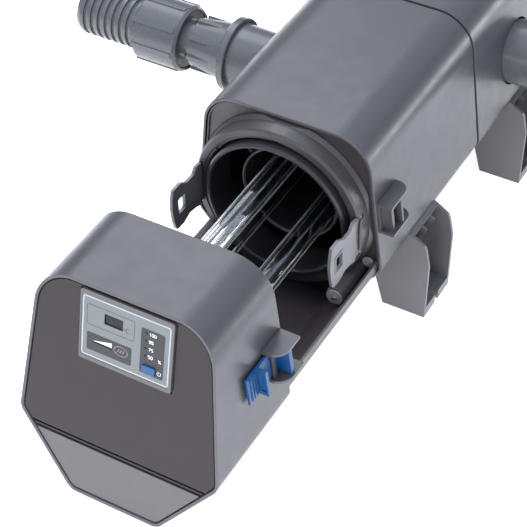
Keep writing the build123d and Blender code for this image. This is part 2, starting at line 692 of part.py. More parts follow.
def foot_screw_holes(start):
    """Clearance in the hull for a pair of feet."""
    holes = [place * Cylinder(SCREW_RADIUS + 0.05, 30) for place in foot_screw_places(start)]
    return holes + [mirror(hole, about=Plane.YZ) for hole in holes]


def hex_drive():
    """Recess for a hexagon key, centred on the face that it is sunk into."""
    return extrude(RegularPolygon(DRIVE_RADIUS, 6), amount=DRIVE_DEPTH, both=True)


def foot_screw(place):
    """Pan-head screw; its own Z axis points out of the hull."""
    face = FOOT_WEB_LIFT + FOOT_PLATE
    head = Pos(0, 0, face + SCREW_HEAD_HEIGHT / 2) * Cylinder(FOOT_SCREW_HEAD, SCREW_HEAD_HEIGHT)
    drive = Pos(0, 0, face + SCREW_HEAD_HEIGHT) * hex_drive()
    shank = Pos(0, 0, (face - WALL) / 2) * Cylinder(SCREW_RADIUS, face + WALL)
    return place * (head + shank - drive)


def feet():
    solids = []
    for start in (FOOT_FRONT_Y, FOOT_REAR_Y):
        solids += both_sides(foot(start))
    return group(solids)


def foot_screws():
    solids = []
    for start in (FOOT_FRONT_Y, FOOT_REAR_Y):
        for place in foot_screw_places(start):
            solids += both_sides(foot_screw(place))
    return group(solids)


# ================================================================= water connections
def port(y, side):
    """Stub and flange moulded to saddle the round vessel."""
    stub = turned_x([
        (80, PORT_BORE), (80, PORT_STUB_RADIUS - 1), (PORT_FLANGE_S, PORT_STUB_RADIUS),
        (PORT_FLANGE_S, PORT_FLANGE_RADIUS - 1), (PORT_FLANGE_S + 1, PORT_FLANGE_RADIUS),
        (PORT_FACE_S - 1, PORT_FLANGE_RADIUS), (PORT_FACE_S, PORT_FLANGE_RADIUS - 1),
        (PORT_FACE_S, 28), (PORT_FACE_S - 22, 28), (PORT_FACE_S - 22, PORT_BORE),
    ], y, side)
    return stub - disc(0, AXIS_Z, VESSEL_RADIUS, y - 60, y + 60)


def ribs_around_x(y, side, count, radius, start, end, width, height):
    """Grip ribs along the port axis, spread evenly round a nut."""
    low = (start, -width / 2, radius - 1.5)
    rib = box_between(low, (end, width / 2, radius + height))
    ribs = [Pos(0, y, AXIS_Z) * Rot(360 / count * i, 0, 0) * rib for i in range(count)]
    return ribs if side > 0 else [mirror(r, about=Plane.YZ) for r in ribs]


def union_body(y, side):
    """Ribbed screw-in body, slim neck with stops, and the threaded head of the union."""
    body = turned_x([
        (PORT_FACE_S - 20, UNION_BORE), (PORT_FACE_S - 20, UNION_THREAD_RADIUS),
        (PORT_FACE_S, UNION_THREAD_RADIUS), (PORT_FACE_S, UNION_SHOULDER_RADIUS),
        (PORT_FACE_S + 5, UNION_SHOULDER_RADIUS), (UNION_CONE_END_S, UNION_CONE_RADIUS),
        (UNION_CONE_END_S, UNION_NECK_RADIUS), (UNION_HEAD_START_S, UNION_NECK_RADIUS),
        (UNION_HEAD_START_S, UNION_HEAD_RADIUS - 1), (UNION_HEAD_START_S + 1, UNION_HEAD_RADIUS),
        (UNION_BODY_END_S, UNION_HEAD_RADIUS), (UNION_BODY_END_S, UNION_BORE),
    ], y, side)
    cone = (UNION_CONE_RADIUS + 0.5, PORT_FACE_S + 4, UNION_CONE_END_S - 1)
    for rib in ribs_around_x(y, side, 8, *cone, 5.0, 3.0):
        body += rib
    neck = (UNION_NECK_RADIUS, UNION_CONE_END_S + 2, UNION_HEAD_START_S - 3.5)
    for stop in ribs_around_x(y, side, 4, *neck, 3.0, 4.5):
        body += stop
    return body


def union_nut(y, side):
    """Ribbed nut that turns on the union and draws the hose tail's collar against it."""
    bore = UNION_HEAD_RADIUS + RUNNING
    lip = TAIL_NECK_RADIUS + RUNNING
    nut = turned_x([
        (UNION_NUT_START_S, bore + 1.5), (UNION_NUT_START_S, UNION_NUT_RADIUS - 3.5),
        (UNION_NUT_START_S + 3.5, UNION_NUT_RADIUS - 1), (UNION_NUT_END_S - 3, UNION_NUT_RADIUS - 1),
        (UNION_NUT_END_S, UNION_NUT_RADIUS - 4), (UNION_NUT_END_S, lip + 1), (UNION_NUT_END_S - 1, lip),
        (NUT_SHOULDER_S, lip), (NUT_SHOULDER_S, bore), (UNION_NUT_START_S + 1.5, bore),
    ], y, side)
    grip = (UNION_NUT_RADIUS - 1.2, UNION_NUT_START_S + 5, UNION_NUT_END_S - 1)
    for rib in ribs_around_x(y, side, 8, *grip, 6.0, 1.2):
        nut += rib
    return nut


def hose_tail(y, side):
    """Collar, smooth neck and a barbed tail for the hose."""
    barb_start = UNION_NUT_END_S + 2
    pitch = (TAIL_END_S - barb_start) / TAIL_BARBS
    outline = [
        (TAIL_START_S, TAIL_BORE), (TAIL_START_S, TAIL_COLLAR_RADIUS),
        (TAIL_COLLAR_END_S, TAIL_COLLAR_RADIUS), (TAIL_COLLAR_END_S, TAIL_NECK_RADIUS),
        (barb_start, TAIL_NECK_RADIUS),
    ]
    for index in range(TAIL_BARBS):
        start = barb_start + index * pitch
        outline += [(start, TAIL_CREST), (start + pitch * 0.45, TAIL_CREST), (start + pitch, TAIL_VALLEY)]
    outline += [(TAIL_END_S, TAIL_BORE)]
    return turned_x(outline, y, side)


def union_gasket(y, side):
    inner, outer = TAIL_BORE + 0.5, UNION_HEAD_RADIUS - 1.5
    start, end = UNION_BODY_END_S, TAIL_START_S
    return turned_x([(start, inner), (start, outer), (end, outer), (end, inner)], y, side)


# ================================================================= lamp head
def front_slab(out_high, out_low):
    """Everything between two depths under the leaning front face."""
    depth = out_high - out_low
    return front_plane() * (Pos(0, 0, (out_high + out_low) / 2) * Box(2 * WIDE, 2 * WIDE, depth))


def face_strip(low_v, high_v):
    """Everything between two heights measured along the leaning front face."""
    height = high_v - low_v
    return front_plane() * (Pos(0, (low_v + high_v) / 2, 0) * Box(2 * WIDE, height, WIDE))


def head_shell():
    """Open-ended shell with one ledge behind the covers and one in front of the bulkhead."""
    shell = softened(hull_tube(0, WALL, HEAD_START_Y, HEAD_BACK_Y), -1)
    ledge = hull_tube(WALL - 0.5, LEDGE_DEPTH, HEAD_START_Y, HEAD_BACK_Y)
    back = COVER_RECESS + COVER_THICK + COVER_SEAT_GAP
    shell += ledge & front_slab(-back, -back - LEDGE_THICK)
    front = BULKHEAD_Y - BULKHEAD_THICK
    shell += hull_tube(WALL - 0.5, LEDGE_DEPTH, front - LEDGE_THICK, front)
    shell = softened(shell - front_slab(WIDE, 0), 0)
    shell -= Pos(CABLE_X, CABLE_Y, HULL_FLOOR_Z) * Cylinder(GLAND_RADIUS - 2, 20)
    for x, y in RAIL_SCREW_PLACES:
        shell -= Pos(x, y, HULL_FLOOR_Z) * Cylinder(2.0, 20)
    return shell


def guide_rail():
    """Open channel fixed inside the head; it slides along the inside of the tank's hull."""
    rail = rail_solid(0, RAIL_FRONT_Y, RAIL_BACK_Y)
    rail -= rail_solid(RAIL_WALL, RAIL_FRONT_Y - 1, RAIL_BACK_Y + 1)
    rail = (rail & slab(0, RAIL_TOP_Z)) - left_of_rail(RAIL_LEFT_TOP_Z)
    pad_low = (-34, RAIL_FRONT_Y + 2, HULL_FLOOR_Z + WALL)
    rail += box_between(pad_low, (34, HEAD_BACK_Y - 8, HULL_FLOOR_Z + RAIL_INSET + 0.5))
    for x, y in RAIL_SCREW_PLACES:
        rail -= Pos(x, y, HULL_FLOOR_Z) * Cylinder(SMALL_PILOT_RADIUS, 30)
    return rail


def rail_screws():
    """Screws from below, through the head shell into the rail's pad."""
    solids = []
    for x, y in RAIL_SCREW_PLACES:
        head = Pos(x, y, HULL_FLOOR_Z - SCREW_HEAD_HEIGHT / 2) * Cylinder(RAIL_SCREW_HEAD, SCREW_HEAD_HEIGHT)
        drive = Pos(x, y, HULL_FLOOR_Z - SCREW_HEAD_HEIGHT) * hex_drive()
        middle = Pos(x, y, HULL_FLOOR_Z + RAIL_SCREW_LENGTH / 2)
        shank = middle * Cylinder(SMALL_SHANK_RADIUS, RAIL_SCREW_LENGTH)
        solids.append(head + shank - drive)
    return group(solids)


def cover_outline(low_v, high_v, out_low, out_high):
    """Part of the leaning front between two heights and two depths, clear of the shell's rim."""
    outline = hull_solid(WALL + RIM_GAP, HEAD_START_Y, HEAD_BACK_Y)
    return outline & front_slab(out_high, out_low) & face_strip(low_v, high_v)


def panel_place(u, v, w=0.0):
    return front_plane() * Pos(u, v, w)


def panel_block(u, v, width, height, radius, low, high):
    """A rounded block on the front face between two depths."""
    shape = extrude(RectangleRounded(width, height, radius), amount=high - low)
    return panel_place(u, v, low) * shape


def button_hole(clear=BUTTON_CLEAR):
    return panel_block(BUTTON_U, BUTTON_V, BUTTON_WIDTH + 2 * clear, BUTTON_HEIGHT + 2 * clear, 1.2, -9, 5)


def panel_windows():
    """Openings that run through the membrane, the bezel and the cover."""
    openings = [panel_block(DISPLAY_U, DISPLAY_V, DISPLAY_WIDTH, DISPLAY_HEIGHT, 0.6, -9, 5), button_hole()]
    return openings + [place * Cylinder(LED_RADIUS + 0.1, 30) for place in led_places()]


def front_cover():
    """Upper cover with a pocket for the control panel and a beaded skirt at its lower edge."""
    face = -COVER_RECESS
    cover = cover_outline(COVER_SPLIT_V, 20, face - COVER_THICK, face)
    split_low = COVER_SPLIT_V - COVER_SPLIT_GAP
    cover += cover_outline(split_low, COVER_SPLIT_V + 1, face - COVER_THICK, face - 2.5)
    middle = (COVER_SPLIT_V + split_low) / 2
    cover += cover_outline(middle - 1.1, middle + 1.1, face - COVER_THICK, face - 0.4)
    width, height = PANEL_WIDTH + 2 * PANEL_GROOVE, PANEL_HEIGHT + 2 * PANEL_GROOVE
    cover -= panel_block(PANEL_U, PANEL_V, width, height, PANEL_RADIUS + 1, face - POCKET_DEPTH, 3)
    return cover - panel_windows()


def lower_cover():
    """Cover of the terminal chamber, under the upper cover's skirt."""
    face = -COVER_RECESS
    return cover_outline(-WIDE, COVER_SPLIT_V - COVER_SPLIT_GAP - 0.3, face - COVER_THICK, face)


def led_places():
    return [panel_place(LED_U, LED_TOP_V - i * LED_PITCH) for i in range(LED_COUNT)]


def card_slot(low, high):
    """Narrow slot for a service card, below the display."""
    return panel_block(SLOT_U, SLOT_V, SLOT_WIDTH, SLOT_HEIGHT, 0.4, low, high)


def panel_bezel():
    floor = -COVER_RECESS - POCKET_DEPTH
    bezel = panel_block(PANEL_U, PANEL_V, PANEL_WIDTH, PANEL_HEIGHT, PANEL_RADIUS, floor, PANEL_PROUD)
    recess = PANEL_PROUD - MEMBRANE_THICK - MEMBRANE_SUNK
    width, height = MEMBRANE_WIDTH + 0.4, MEMBRANE_HEIGHT + 0.4
    bezel -= panel_block(MEMBRANE_U, MEMBRANE_V, width, height, MEMBRANE_RADIUS + 0.2, recess, 5)
    return bezel - panel_windows() - card_slot(floor + 0.8, 5)


def panel_membrane():
    low = PANEL_PROUD - MEMBRANE_THICK - MEMBRANE_SUNK
    high = low + MEMBRANE_THICK
    sheet = panel_block(MEMBRANE_U, MEMBRANE_V, MEMBRANE_WIDTH, MEMBRANE_HEIGHT, MEMBRANE_RADIUS, low, high)
    return sheet - panel_windows() - card_slot(-9, 5)


def display_window():
    width, height = DISPLAY_WIDTH - 0.2, DISPLAY_HEIGHT - 0.2
    return panel_block(DISPLAY_U, DISPLAY_V, width, height, 0.5, -1.6, -0.6)


def display_module():
    width, height = DISPLAY_WIDTH - 0.6, DISPLAY_HEIGHT - 0.6
    return panel_block(DISPLAY_U, DISPLAY_V, width, height, 0.5, BOARD_FACE_W, -1.8)


def indicator_leds():
    low, high = BOARD_FACE_W, PANEL_PROUD - 0.1
    post = Pos(0, 0, (low + high) / 2) * Cylinder(LED_RADIUS, high - low)
    return group([place * post for place in led_places()])


def power_button():
    """Key cap with a stem that reaches the switch behind the cover."""
    cap = panel_block(BUTTON_U, BUTTON_V, BUTTON_WIDTH, BUTTON_HEIGHT, 1.0, -2.0, PANEL_PROUD + BUTTON_PROUD)
    top = cap.faces().sort_by(Axis((0, 0, 0), tuple(front_plane().z_dir)))[-1]
    cap = fillet(top.edges(), 0.7)
    return cap + panel_block(BUTTON_U, BUTTON_V, 5, 3.5, 0.8, BUTTON_STEM_W, -1.5)


def button_switch():
    top = BUTTON_STEM_W - BUTTON_TRAVEL - 0.2
    return panel_block(BUTTON_U, BUTTON_V, 6, 6, 0.8, BOARD_FACE_W, top)


def control_board():
    back = BOARD_FACE_W - BOARD_THICK
    return panel_block(PANEL_U, PANEL_V, BOARD_WIDTH, BOARD_HEIGHT, 2, back, BOARD_FACE_W)


def board_posts():
    """Four pillars between the cover and the board."""
    back = -COVER_RECESS - COVER_THICK
    length = back - BOARD_FACE_W
    middle = (back + BOARD_FACE_W) / 2
    solids = []
    for u in (PANEL_U - POST_SPREAD_U, PANEL_U + POST_SPREAD_U):
        for v in (PANEL_V - POST_SPREAD_V, PANEL_V + POST_SPREAD_V):
            solids.append(panel_place(u, v, middle) * Cylinder(POST_RADIUS, length))
    return group(solids)


def sleeve_centres():
    places = []
    for index in range(SLEEVE_COUNT):
        angle = math.radians(SLEEVE_FIRST_ANGLE + 360 / SLEEVE_COUNT * index)
        across = SLEEVE_PITCH_RADIUS * math.cos(angle)
        places.append((across, AXIS_Z + SLEEVE_PITCH_RADIUS * math.sin(angle)))
    return places


def ear_nose(side):
    """Post on the bulkhead with a lip that the ear's window snaps over."""
    post_x, lip_x = side * NOSE_ROOT_X, side * NOSE_TIP_X
    back_y = NOSE_Y + NOSE_HALF
    post_low = (post_x - NOSE_HALF, BULKHEAD_Y - 1, NOSE_LOW_Z)
    post = box_between(post_low, (post_x + NOSE_HALF, back_y, NOSE_HIGH_Z))
    lip_low = (lip_x - NOSE_LIP_HALF, NOSE_Y - NOSE_HALF, NOSE_LOW_Z)
    return post + box_between(lip_low, (lip_x + NOSE_LIP_HALF, back_y, NOSE_HIGH_Z))


def pin_socket(side):
    """Cup that a guide pin enters as the head closes, trimmed to fit inside the rail."""
    cup = disc(side * PIN_X, PIN_Z, PIN_RADIUS + SOCKET_WALL, BULKHEAD_Y - 1, SOCKET_BACK_Y)
    cup -= disc(side * PIN_X, PIN_Z, PIN_RADIUS + SOCKET_CLEAR, BULKHEAD_Y, SOCKET_BACK_Y + 1)
    return cup & rail_solid(RAIL_WALL + BULKHEAD_CLEAR, BULKHEAD_Y - 2, SOCKET_BACK_Y + 1)


def bulkhead():
    """Wall across the head with a sealed spigot, sleeve seats, ear noses and pin sockets."""
    front = BULKHEAD_Y - BULKHEAD_THICK
    groove_front = SPIGOT_GROOVE_Y - SPIGOT_GROOVE_HALF
    groove_back = SPIGOT_GROOVE_Y + SPIGOT_GROOVE_HALF
    wall = hull_solid(WALL + BULKHEAD_CLEAR, front, BULKHEAD_Y)
    wall += turned_y([
        (SPIGOT_RADIUS - SPIGOT_WALL, BULKHEAD_Y - 1), (SPIGOT_RADIUS, BULKHEAD_Y - 1),
        (SPIGOT_RADIUS, groove_front), (SPIGOT_GROOVE_RADIUS, groove_front),
        (SPIGOT_GROOVE_RADIUS, groove_back), (SPIGOT_RADIUS, groove_back),
        (SPIGOT_RADIUS, SPIGOT_BACK_Y - 1), (SPIGOT_RADIUS - 1, SPIGOT_BACK_Y),
        (0, SPIGOT_BACK_Y), (0, SPIGOT_BACK_Y - 6), (SPIGOT_RADIUS - SPIGOT_WALL, SPIGOT_BACK_Y - 6),
    ])
    for side in (LEFT, RIGHT):
        wall += ear_nose(side) + pin_socket(side)
    for x, z in sleeve_centres():
        wall -= disc(x, z, SLEEVE_RADIUS + 0.1, SPIGOT_BACK_Y - 10, SPIGOT_BACK_Y + 1)
        wall -= disc(x, z, SEAL_RADIUS, SPIGOT_BACK_Y - 3, SPIGOT_BACK_Y + 1)
    for x, z in BULKHEAD_SCREWS:
        wall -= disc(x, z, SMALL_PILOT_RADIUS, front - 1, BULKHEAD_Y + 1)
    return wall


def bulkhead_screws():
    solids = []
    for x, z in BULKHEAD_SCREWS:
        top = BULKHEAD_Y + SCREW_HEAD_HEIGHT
        head = disc(x, z, BULKHEAD_SCREW_HEAD, BULKHEAD_Y, top)
        shank = disc(x, z, SMALL_SHANK_RADIUS, BULKHEAD_Y - BULKHEAD_THICK - 6, BULKHEAD_Y)
        drive = along_y(Pos(x, z) * RegularPolygon(DRIVE_RADIUS, 6), top - DRIVE_DEPTH, top + 1)
        solids.append(head + shank - drive)
    return group(solids)


def spigot_seal():
    """O-ring that seals the head's spigot inside the tank's neck."""
    section = Pos(SPIGOT_SEAL_RADIUS, SPIGOT_GROOVE_Y) * Circle(SPIGOT_SEAL_SECTION)
    return Pos(0, 0, AXIS_Z) * revolve(section, Axis.Y)


def quartz_sleeves():
    """Closed-end glass tubes with round tips."""
    solids = []
    shoulder = SLEEVE_TIP_Y - SLEEVE_RADIUS
    inner = SLEEVE_RADIUS - SLEEVE_WALL
    for x, z in sleeve_centres():
        tip = Pos(x, shoulder, z)
        outer = disc(x, z, SLEEVE_RADIUS, SLEEVE_FRONT_Y, shoulder) + tip * Sphere(SLEEVE_RADIUS)
        hollow = disc(x, z, inner, SLEEVE_FRONT_Y - 1, shoulder) + tip * Sphere(inner)
        solids.append(outer - hollow)
    return group(solids)


def sleeve_seals():
    solids = []
    for x, z in sleeve_centres():
        ring = disc(x, z, SEAL_RADIUS - 0.1, SPIGOT_BACK_Y - 2.9, SPIGOT_BACK_Y - 0.1)
        solids.append(ring - disc(x, z, SLEEVE_RADIUS + 0.05, SPIGOT_BACK_Y - 4, SPIGOT_BACK_Y + 1))
    return group(solids)


def gland_nuts():
    """Ribbed nuts that press the seals round the sleeves."""
    solids = []
    for x, z in sleeve_centres():
        nut = disc(x, z, GLAND_OUTER, SPIGOT_BACK_Y, SPIGOT_BACK_Y + GLAND_HEIGHT)
        nut -= disc(x, z, SLEEVE_RADIUS + 0.2, SPIGOT_BACK_Y - 1, SPIGOT_BACK_Y + GLAND_HEIGHT + 1)
        for index in range(6):
            angle = math.radians(60 * index)
            notch_x = x + (GLAND_OUTER + 0.6) * math.cos(angle)
            notch_z = z + (GLAND_OUTER + 0.6) * math.sin(angle)
            nut -= disc(notch_x, notch_z, 1.5, SPIGOT_BACK_Y + 1.5, SPIGOT_BACK_Y + GLAND_HEIGHT + 1)
        solids.append(nut)
    return group(solids)


def lamp_sockets():
    solids = []
    for x, z in sleeve_centres():
        cup = disc(x, z, LAMP_SOCKET_RADIUS, BULKHEAD_Y, SLEEVE_FRONT_Y - 1)
        solids.append(cup - disc(x, z, LAMP_SOCKET_BORE, BULKHEAD_Y + 4, SLEEVE_FRONT_Y))
    return group(solids)


def uv_lamps():
    """Twin-tube lamps: a base, two glass tubes and a bridge near the tips."""
    solids = []
    for x, z in sleeve_centres():
        lamp = disc(x, z, LAMP_BASE_RADIUS, BULKHEAD_Y + 4, LAMP_BASE_BACK_Y)
        for shift in (-LAMP_TUBE_OFFSET, LAMP_TUBE_OFFSET):
            lamp += disc(x + shift, z, LAMP_TUBE_RADIUS, LAMP_BASE_BACK_Y - 1, LAMP_TIP_Y)
            lamp += Pos(x + shift, LAMP_TIP_Y, z) * Sphere(LAMP_TUBE_RADIUS)
        bridge = Pos(x, LAMP_TIP_Y - 12, z) * Rot(0, 90, 0) * Cylinder(2.0, 2 * LAMP_TUBE_OFFSET)
        solids.append(lamp + bridge)
    return group(solids)


def ballasts():
    """Lamp drivers on the front of the bulkhead."""
    front = BULKHEAD_Y - BULKHEAD_THICK
    solids = []
    for x in BALLAST_PLACES_X:
        low = (x - BALLAST_HALF, front - BALLAST_DEPTH, BALLAST_LOW_Z)
        block = box_between(low, (x + BALLAST_HALF, front, BALLAST_HIGH_Z))
        solids.append(fillet(block.edges().filter_by(Axis.Y), 2))
    return group(solids)


def cable_gland():
    """Strain relief under the head: flange, clamping nut and a short sleeve."""
    bottom = HULL_FLOOR_Z
    flange = Pos(CABLE_X, CABLE_Y, bottom - 1.5) * Cylinder(GLAND_RADIUS + 2, 3)
    neck = Pos(CABLE_X, CABLE_Y, bottom + 2) * Cylinder(GLAND_RADIUS - 2.1, 10)
    nut = Pos(CABLE_X, CABLE_Y, bottom - 10) * extrude(RegularPolygon(GLAND_RADIUS + 0.5, 6), amount=8)
    bore = Pos(CABLE_X, CABLE_Y, bottom - 5) * Cylinder(CABLE_RADIUS + 0.1, 60)
    return flange + neck + nut - bore


def mains_cable():
    """Round lead from the gland down to the floor and back under the tank."""
    top = (CABLE_X, CABLE_Y, HULL_FLOOR_Z + 12)
    bend_top = (CABLE_X, CABLE_Y, CABLE_FLOOR_Z + CABLE_BEND)
    bend_end = (CABLE_X, CABLE_Y + CABLE_BEND, CABLE_FLOOR_Z)
    middle = CABLE_BEND * (1 - math.sqrt(0.5))
    bend_middle = (CABLE_X, CABLE_Y + middle, CABLE_FLOOR_Z + middle)
    drop = Line(top, bend_top)
    bend = ThreePointArc(bend_top, bend_middle, bend_end)
    run = Line(bend_end, (CABLE_X, CABLE_END_Y, CABLE_FLOOR_Z))
    path = Wire([drop.edge(), bend.edge(), run.edge()])
    return sweep(Plane(origin=top, z_dir=(0, 0, -1)) * Circle(CABLE_RADIUS), path)


def mains_plug():
    """Round two-pin plug at the end of the lead."""
    z = PLUG_Z
    plug = turned_y([(radius, CABLE_END_Y + y) for radius, y in PLUG_OUTLINE], CABLE_X, z)
    for x in (CABLE_X - PLUG_PIN_X, CABLE_X + PLUG_PIN_X):
        pin = disc(x, z, PLUG_PIN_RADIUS, CABLE_END_Y + 43, PLUG_PIN_END_Y)
        plug += pin + Pos(x, PLUG_PIN_END_Y, z) * Sphere(PLUG_PIN_RADIUS)
    return plug - disc(CABLE_X, CABLE_FLOOR_Z, CABLE_RADIUS, CABLE_END_Y - 10, CABLE_END_Y)


def mirrored(solid):
    return mirror(solid, about=Plane.YZ)


def all_parts():
    """Every node's name and its solid or group of solids."""
    right_ear = ear()
    parts = {
        "front_shell": front_shell(),
        "rear_shell": rear_shell(),
        "seam_gasket": seam_gasket(),
        "vessel": vessel(),
        "flow_tube": flow_tube(),
        "vessel_saddles": vessel_saddles(),
        "front_plate": front_plate(),
        "plate_screws": plate_screws(),
        "clamp_ring": clamp_ring(),
        "ear_pins": ear_pins(),
        "ear_right": right_ear,
        "ear_left": mirrored(right_ear),
        "guide_pins": guide_pins(),
        "guide_pin_washers": guide_pin_washers(),
        "guide_pin_screws": guide_pin_screws(),
        "catch": catch(),
        "feet": feet(),
        "foot_screws": foot_screws(),
        "head_shell": head_shell(),
        "front_cover": front_cover(),
        "lower_cover": lower_cover(),
        "panel_bezel": panel_bezel(),
        "panel_membrane": panel_membrane(),
        "display_window": display_window(),
        "display_module": display_module(),
        "indicator_leds": indicator_leds(),
        "power_button": power_button(),
        "button_switch": button_switch(),
        "control_board": control_board(),
        "board_posts": board_posts(),
        "bulkhead": bulkhead(),
        "bulkhead_screws": bulkhead_screws(),
        "spigot_seal": spigot_seal(),
        "quartz_sleeves": quartz_sleeves(),
        "sleeve_seals": sleeve_seals(),
        "gland_nuts": gland_nuts(),
        "lamp_sockets": lamp_sockets(),
        "uv_lamps": uv_lamps(),
        "ballasts": ballasts(),
        "guide_rail": guide_rail(),
        "rail_screws": rail_screws(),
        "latch_bracket": latch_bracket(),
        "latch_slide": latch_slide(),
        "cable_gland": cable_gland(),
        "mains_cable": mains_cable(),
        "mains_plug": mains_plug(),
    }
    for name, y, side in (("left", PORT_LEFT_Y, LEFT), ("right", PORT_RIGHT_Y, RIGHT)):
        parts[f"{name}_port"] = port(y, side)
        parts[f"{name}_union_body"] = union_body(y, side)
        parts[f"{name}_union_gasket"] = union_gasket(y, side)
        parts[f"{name}_union_nut"] = union_nut(y, side)
        parts[f"{name}_hose_tail"] = hose_tail(y, side)
    return parts


os.makedirs("parts", exist_ok=True)
for node, shape in all_parts().items():
    export_step(Pos(0, -ORIGIN_Y, 0) * shape, f"parts/{node}.step")
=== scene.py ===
"""Looks of the pond UV clarifier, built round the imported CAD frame. Metres, +Z up."""
import bmesh
import bpy
import math
from mathutils import Matrix, Vector


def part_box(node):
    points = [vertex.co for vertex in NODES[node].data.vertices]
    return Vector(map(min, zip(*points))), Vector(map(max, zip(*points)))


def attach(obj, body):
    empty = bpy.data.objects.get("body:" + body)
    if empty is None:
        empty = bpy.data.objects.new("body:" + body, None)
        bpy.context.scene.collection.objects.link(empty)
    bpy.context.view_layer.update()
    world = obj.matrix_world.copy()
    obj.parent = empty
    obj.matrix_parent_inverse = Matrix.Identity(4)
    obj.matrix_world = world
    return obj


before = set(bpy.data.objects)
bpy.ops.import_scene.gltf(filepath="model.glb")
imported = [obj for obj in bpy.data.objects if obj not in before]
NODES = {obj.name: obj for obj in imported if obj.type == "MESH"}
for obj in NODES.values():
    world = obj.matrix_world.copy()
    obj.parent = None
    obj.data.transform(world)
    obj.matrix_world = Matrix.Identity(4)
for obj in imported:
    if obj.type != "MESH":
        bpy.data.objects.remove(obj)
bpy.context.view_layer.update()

# ---------------------------------------------------------------- view
CAMERA_AZIMUTH = 31.44
CAMERA_ELEVATION = 43.51
CAMERA_ROLL = 2.15
CAMERA_DISTANCE = 1.6
CAMERA_AIM = Vector((0.0327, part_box("front_shell")[0].y - 0.1023, 0.1714))
CAMERA_LENS = 117.87
SENSOR = 36.0

# ---------------------------------------------------------------- colours, scene linear
HOUSING = (0.057, 0.055, 0.060)
COVER = (0.016, 0.0115, 0.0118)
LOWER = (0.072, 0.066, 0.068)
INTERNAL = (0.028, 0.023, 0.025)
RAIL = (0.066, 0.056, 0.060)
RING = (0.044, 0.040, 0.042)
TUBE = (0.026, 0.024, 0.025)
FOOT = (0.092, 0.089, 0.094)
PIN = (0.32, 0.315, 0.32)
FITTING = (0.075, 0.078, 0.082)
EAR = (0.125, 0.124, 0.128)
BEZEL = (0.075, 0.070, 0.070)
RUBBER = (0.012, 0.012, 0.013)
LED_DARK = (0.004, 0.004, 0.004)
STEEL = (0.55, 0.55, 0.56)
BLUE = (0.007, 0.058, 0.165)
MEMBRANE = (0.122, 0.133, 0.138)
PRINT_DARK = (0.032, 0.032, 0.034)
PRINT_LIGHT = (0.62, 0.64, 0.65)
PRINT_LINE = (0.035, 0.038, 0.042)
PRINT_GREY = (0.20, 0.205, 0.21)
PRINT_BORDER = (0.36, 0.38, 0.39)
BOARD_GREEN = (0.012, 0.085, 0.035)
BASE_WHITE = (0.62, 0.61, 0.59)
# White of the painted highlight along glass tube edges.
GLASS_HIGHLIGHT_WHITE = (0.80, 0.83, 0.85, 1.0)

MM = 0.001
FLOOR_GLOW = 0.85
SKY_LOW = 0.26
SKY_HIGH = 1.0
SKY_COLOUR = (0.80, 0.92, 1.20, 1.0)

# ---------------------------------------------------------------- lamps and panel, millimetres
LAMP_BASE_LENGTH = 0.030
FRONT_LEAN = 0.235
MEMBRANE_HALF_THICK = 0.4
PRINT_LOW = 0.005
PRINT_HIGH = 0.055
PRINT_TOP = 0.105
STROKE = 0.55
BORDER = (0.0, 0.0, 87.6, 59.9, 2.2)
BORDER_WIDTH = 1.0
DISPLAY_FRAME = (-15.65, 12.5, 48.2, 20.4, 2.5)
SLOT_FRAME = (-16.25, -14.6, 45.8, 18.4, 1.6)
CARD_SLOT = (-23.25, -14.5, 20.0, 1.8, 0.3)
WEDGE = [(-33.0, -13.3), (-13.4, -13.3), (-13.4, -8.6)]
BADGE = (-4.1, -13.3, 7.0, 4.6)
LAMP_FRAME = (27.05, -2.4, 23.8, 46.0, 1.6)
INDICATOR_U = 20.15
INDICATOR_TOP_V = 16.2
INDICATOR_PITCH = 7.7
INDICATOR_HOLE = 1.35
BUTTON = (24.85, -20.0, 13.6, 8.6, 0.8)
NUMERALS = ("100", "95", "75", "50")
NUMERAL_U = 23.4
NUMERAL_HEIGHT = 2.9
PERCENT_AT = (33.6, -9.2)
DEGREE_AT = (-1.6, 10.2)
UNIT_AT = (0.2, 7.8)
UNIT_HEIGHT = 4.6
POWER_AT = (34.9, -20.0)
POWER_RADIUS = 1.9


# ================================================================= materials
def new_material(name):
    mat = bpy.data.materials.new(name)
    mat.use_nodes = True
    tree = mat.node_tree
    shader = tree.nodes["Principled BSDF"]
    return mat, tree, shader


def add(tree, kind, **values):
    node = tree.nodes.new(kind)
    for key, value in values.items():
        if key in node.inputs:
            node.inputs[key].default_value = value
        else:
            setattr(node, key, value)
    return node


def noise(tree, scale, detail=3.0):
    """Noise in the object's own metres, so the grain keeps its real size."""
    place = add(tree, "ShaderNodeTexCoord")
    texture = add(tree, "ShaderNodeTexNoise", Scale=scale, Detail=detail)
    tree.links.new(place.outputs["Object"], texture.inputs["Vector"])
    return texture.outputs["Fac"]


def spread(tree, value, low, high, from_low=0.3, from_high=0.7):
    node = add(tree, "ShaderNodeMapRange")
    node.inputs["From Min"].default_value = from_low
    node.inputs["From Max"].default_value = from_high
    node.inputs["To Min"].default_value = low
    node.inputs["To Max"].default_value = high
    tree.links.new(value, node.inputs["Value"])
    return node.outputs["Result"]


def tint(colour, factor):
    return tuple(min(1.0, c * factor) for c in colour) + (1.0,)


def mix_colours(tree, factor, first, second):
    node = add(tree, "ShaderNodeMix", data_type="RGBA")
    tree.links.new(factor, node.inputs[0])
    for socket, value in ((node.inputs[6], first), (node.inputs[7], second)):
        if isinstance(value, tuple):
            socket.default_value = value
        else:
            tree.links.new(value, socket)
    return node.outputs[2]


